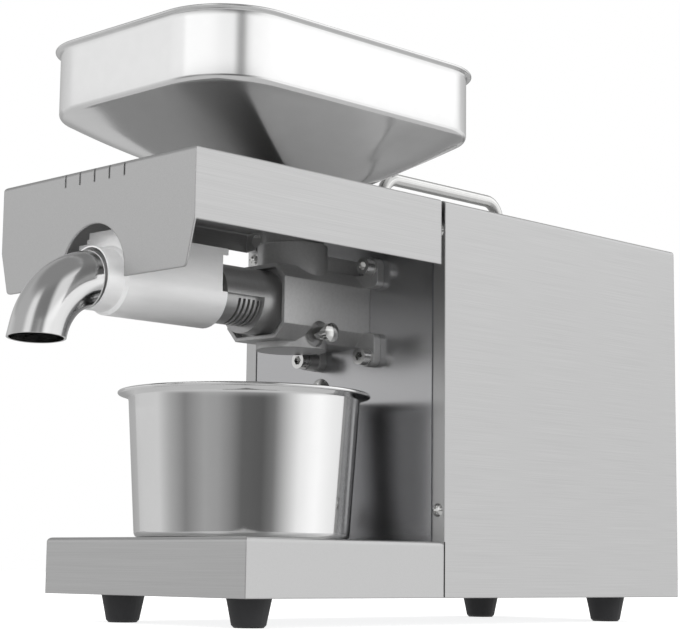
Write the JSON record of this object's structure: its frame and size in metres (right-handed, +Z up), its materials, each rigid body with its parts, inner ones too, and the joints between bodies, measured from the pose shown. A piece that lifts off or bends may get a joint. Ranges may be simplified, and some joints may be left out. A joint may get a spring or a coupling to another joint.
{
  "type": "oil press",
  "caption": "Household screw oil press: steel housing with geared motor, slotted press cage, lift-off canopy and hopper, swivelling residue spout and loose oil bowl.",
  "frame": {"origin": "middle of the bounding box at the table, below the feet", "axes": "+Z up, -Y towards the residue spout and the bowl, +X to the right seen from behind"},
  "size_m": [0.1728, 0.4804, 0.3302],
  "materials": {
    "housing_steel": "fine brushed stainless sheet",
    "plate_steel": "satin stainless sheet",
    "polished_steel": "polished stainless sheet",
    "satin_steel": "satin stainless sheet",
    "zinc_sheet": "zinc plated sheet",
    "foot_rubber": "moulded black rubber",
    "seal_rubber": "oil-proof black rubber",
    "screw_steel": "bright plated steel",
    "cast_steel": "machined casting",
    "tool_steel": "machined and oiled",
    "heater_brass": "plain",
    "gear_steel": "hobbed and oiled",
    "pinion_bronze": "machined bronze",
    "case_aluminium": "as cast",
    "lamination_steel": "stacked laminations",
    "winding_copper": "varnished copper wire",
    "fan_plastic": "moulded",
    "capacitor_plastic": "moulded",
    "inlet_plastic": "fine grained black",
    "rocker_black": "smooth black",
    "rocker_red": "smooth red"
  },
  "bodies": {
    "housing": {"base_platform": "housing_steel", "bottom_plate": "zinc_sheet", "feet": "foot_rubber", "foot_screws": "screw_steel", "body_casing": "housing_steel", "front_plate": "plate_steel", "bulkhead": "zinc_sheet", "rear_panel": "plate_steel", "casing_screws": "screw_steel", "plate_screws": "screw_steel", "rear_panel_screws": "screw_steel", "cover_studs": "screw_steel", "throat_tube": "tool_steel", "feed_block": "cast_steel", "block_screws": "screw_steel", "block_washers": "tool_steel", "press_cage": "tool_steel", "cake_nozzle": "tool_steel", "band_heater": "heater_brass", "residue_trough": "satin_steel", "heater_hood": "satin_steel", "carrying_handle": "polished_steel", "handle_nuts": "screw_steel", "shaft_seal": "seal_rubber", "thrust_bearing": "gear_steel", "shaft_bearings": "gear_steel", "idler_pins": "gear_steel", "gearbox_case": "case_aluminium", "gearbox_cover": "case_aluminium", "gearbox_screws": "screw_steel", "motor_bearings": "gear_steel", "motor_can": "zinc_sheet", "motor_end_bell": "case_aluminium", "stator_core": "lamination_steel", "stator_windings": "winding_copper", "motor_cradle": "zinc_sheet", "run_capacitor": "capacitor_plastic", "capacitor_clip": "zinc_sheet", "power_inlet": "inlet_plastic", "motor_switch": "inlet_plastic", "heater_switch": "inlet_plastic"},
    "motor_rotor": {"motor_pinion": "pinion_bronze", "motor_shaft": "gear_steel", "rotor_core": "lamination_steel", "motor_fan": "fan_plastic"},
    "first_idler": {"first_idler_gear": "gear_steel"},
    "second_idler": {"second_idler_gear": "gear_steel"},
    "press_drive": {"drive_shaft": "gear_steel", "output_gear": "gear_steel", "press_screw": "tool_steel"},
    "canopy": {"top_cover": "housing_steel"},
    "hopper_pan": {"hopper": "polished_steel"},
    "bowl": {"oil_bowl": "polished_steel"},
    "lock_pin": {"locking_pin": "screw_steel"},
    "spout": {"residue_spout": "polished_steel"},
    "motor_rocker_body": {"motor_rocker": "rocker_black"},
    "heater_rocker_body": {"heater_rocker": "rocker_red"}
  },
  "joints": [
    {"name": "motor_spin", "type": "hinge", "parent": "housing", "child": "motor_rotor", "pos_m": [0, 0.00319, 0.116], "axis": [0, 1, 0], "continuous": true},
    {"name": "first_idler_spin", "type": "hinge", "parent": "housing", "child": "first_idler", "pos_m": [-0.02586, 0.00319, 0.13216], "axis": [0, 1, 0], "continuous": true},
    {"name": "second_idler_spin", "type": "hinge", "parent": "housing", "child": "second_idler", "pos_m": [0.00028, 0.00319, 0.14788], "axis": [0, 1, 0], "continuous": true},
    {"name": "press_spin", "type": "hinge", "parent": "housing", "child": "press_drive", "pos_m": [0, 0.00319, 0.186], "axis": [0, 1, 0], "continuous": true},
    {"name": "canopy_lift", "type": "slide", "parent": "housing", "child": "canopy", "axis": [0, 0, 1], "range_m": [0, 0.12]},
    {"name": "hopper_lift", "type": "slide", "parent": "canopy", "child": "hopper_pan", "axis": [0, 0, 1], "range_m": [0, 0.1]},
    {"name": "bowl_slide", "type": "slide", "parent": "housing", "child": "bowl", "axis": [0, -1, 0], "range_m": [0, 0.12]},
    {"name": "pin_pull", "type": "slide", "parent": "housing", "child": "lock_pin", "axis": [1, 0, 0], "range_m": [0, 0.045]},
    {"name": "spout_swivel", "type": "hinge", "parent": "housing", "child": "spout", "pos_m": [0, -0.18181, 0.186], "axis": [0, 1, 0], "range_deg": [-90, 90]},
    {"name": "motor_rocker_tilt", "type": "hinge", "parent": "housing", "child": "motor_rocker_body", "pos_m": [-0.046, 0.23439, 0.092], "axis": [1, 0, 0], "range_deg": [-9, 9]},
    {"name": "heater_rocker_tilt", "type": "hinge", "parent": "housing", "child": "heater_rocker_body", "pos_m": [-0.046, 0.23439, 0.06], "axis": [1, 0, 0], "range_deg": [0, 18]}
  ],
  "couplings": [
    {"joint": "first_idler_spin", "follows": "motor_spin", "ratio": -0.38636},
    {"joint": "second_idler_spin", "follows": "motor_spin", "ratio": 0.14928},
    {"joint": "press_spin", "follows": "motor_spin", "ratio": -0.057675}
  ]
}
